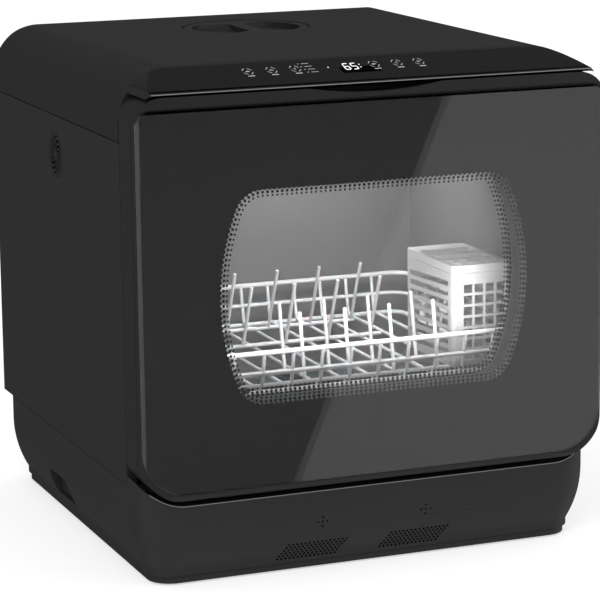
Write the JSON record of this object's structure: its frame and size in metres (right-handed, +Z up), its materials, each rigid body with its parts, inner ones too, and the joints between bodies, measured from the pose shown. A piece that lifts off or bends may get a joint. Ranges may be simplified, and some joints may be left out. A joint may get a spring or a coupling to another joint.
{
  "type": "countertop dishwasher",
  "caption": "Compact free-standing dishwasher with a drop-down glass door, pull-out wire rack, cutlery basket, top fill cap, spray arm and side vent.",
  "frame": {"origin": "on the floor under the middle of the casing, at the height of the feet's undersides", "axes": "+Z up, -Y towards the door and the user, +X to the right as seen from the front"},
  "size_m": [0.427, 0.426, 0.435],
  "materials": {
    "base_housing": "fine satin texture",
    "base_plate": "matte",
    "rubber_feet": "matte",
    "side_sheet": "fine satin texture",
    "back_sheet": "satin",
    "top_cover": "fine satin texture",
    "control_panel": "high gloss",
    "display_window": "high gloss",
    "control_board": "satin",
    "fill_port": "matte",
    "fill_cap": "satin",
    "gasket": "matte",
    "water_tank": "semi matte",
    "tub": "satin",
    "tub_seal": "matte",
    "rack_rails": "satin",
    "filter_plate": "satin",
    "filter_cup": "matte",
    "sump": "matte",
    "heater": "satin",
    "spray_arm": "satin",
    "spray_post": "satin",
    "float_cap": "satin",
    "tub_lamp": "gloss",
    "dish_rack": "satin coating on wire",
    "cutlery_basket": "satin",
    "door_frame": "fine satin texture",
    "door_glass": "polished, tinted",
    "door_cap": "fine satin texture",
    "door_liner": "satin",
    "inner_glass": "polished",
    "hinge_pins": "satin",
    "hinge_brackets": "satin",
    "latch_hook": "satin",
    "latch_lock": "matte",
    "detergent_cup": "satin",
    "detergent_lid": "satin",
    "vent_grille": "satin",
    "fan_housing": "satin",
    "fan_rotor": "satin",
    "wash_pump": "satin",
    "drain_pump": "satin",
    "hoses": "matte",
    "water_inlet": "satin",
    "drain_spigot": "satin",
    "cord_gland": "matte",
    "panel_screws": "satin"
  },
  "bodies": {
    "cabinet": {"base_housing": "base_housing", "base_plate": "base_plate", "rubber_feet": "rubber_feet", "side_panel_left": "side_sheet", "side_panel_right": "side_sheet", "back_panel": "back_sheet", "top_cover": "top_cover", "control_panel": "control_panel", "display_window": "display_window", "control_board": "control_board", "fill_port": "fill_port", "fill_duct": "fill_port", "water_tank": "water_tank", "tub": "tub", "tub_frame": "tub", "tub_seal": "tub_seal", "rack_rails": "rack_rails", "filter_plate": "filter_plate", "sump": "sump", "heater": "heater", "spray_post": "spray_post", "tub_lamp": "tub_lamp", "hinge_brackets": "hinge_brackets", "latch_lock": "latch_lock", "vent_grille": "vent_grille", "fan_housing": "fan_housing", "wash_pump": "wash_pump", "drain_pump": "drain_pump", "pump_hose": "hoses", "drain_hose": "hoses", "water_inlet": "water_inlet", "drain_spigot": "drain_spigot", "cord_gland": "cord_gland", "panel_screws": "panel_screws"},
    "door": {"door_frame": "door_frame", "door_glass": "door_glass", "door_cap": "door_cap", "door_liner": "door_liner", "window_tunnel": "door_liner", "inner_glass": "inner_glass", "hinge_pins": "hinge_pins", "latch_hook": "latch_hook", "detergent_cup": "detergent_cup"},
    "lid": {"detergent_lid": "detergent_lid"},
    "cap": {"fill_cap": "fill_cap", "fill_gasket": "gasket"},
    "arm": {"spray_arm": "spray_arm"},
    "filter": {"filter_cup": "filter_cup"},
    "float": {"float_cap": "float_cap"},
    "rack": {"dish_rack": "dish_rack", "rack_rim": "dish_rack", "rack_tines": "dish_rack"},
    "basket": {"cutlery_basket": "cutlery_basket", "basket_grid": "cutlery_basket"},
    "fan": {"fan_rotor": "fan_rotor"}
  },
  "joints": [
    {"name": "door_hinge", "type": "hinge", "parent": "cabinet", "child": "door", "pos_m": [0, -0.205, 0.092], "axis": [1, 0, 0], "range_deg": [0, 90]},
    {"name": "rack_slide", "type": "slide", "parent": "cabinet", "child": "rack", "axis": [0, -1, 0], "range_m": [0, 0.09]},
    {"name": "basket_lift", "type": "slide", "parent": "rack", "child": "basket", "axis": [0, 0, 1], "range_m": [0, 0.09]},
    {"name": "spray_spin", "type": "hinge", "parent": "cabinet", "child": "arm", "pos_m": [0, -0.0152, 0.121], "axis": [0, 0, 1], "continuous": true},
    {"name": "filter_turn", "type": "hinge", "parent": "cabinet", "child": "filter", "pos_m": [0, 0.0268, 0.1], "axis": [0, 0, 1], "range_deg": [0, 40]},
    {"name": "float_lift", "type": "slide", "parent": "cabinet", "child": "float", "axis": [0, 0, 1], "range_m": [0, 0.006]},
    {"name": "lid_slide", "type": "slide", "parent": "door", "child": "lid", "axis": [1, 0, 0], "range_m": [0, 0.026]},
    {"name": "cap_turn", "type": "hinge", "parent": "cabinet", "child": "cap", "pos_m": [0, 0.094, 0.4273], "axis": [0, 0, 1], "range_deg": [0, 60]},
    {"name": "fan_spin", "type": "hinge", "parent": "cabinet", "child": "fan", "pos_m": [-0.2, 0.016, 0.34], "axis": [1, 0, 0], "continuous": true}
  ],
  "couplings": [
    {"joint": "rack_slide", "follows": "door_hinge", "m_per_rad": 0.0572}
  ]
}
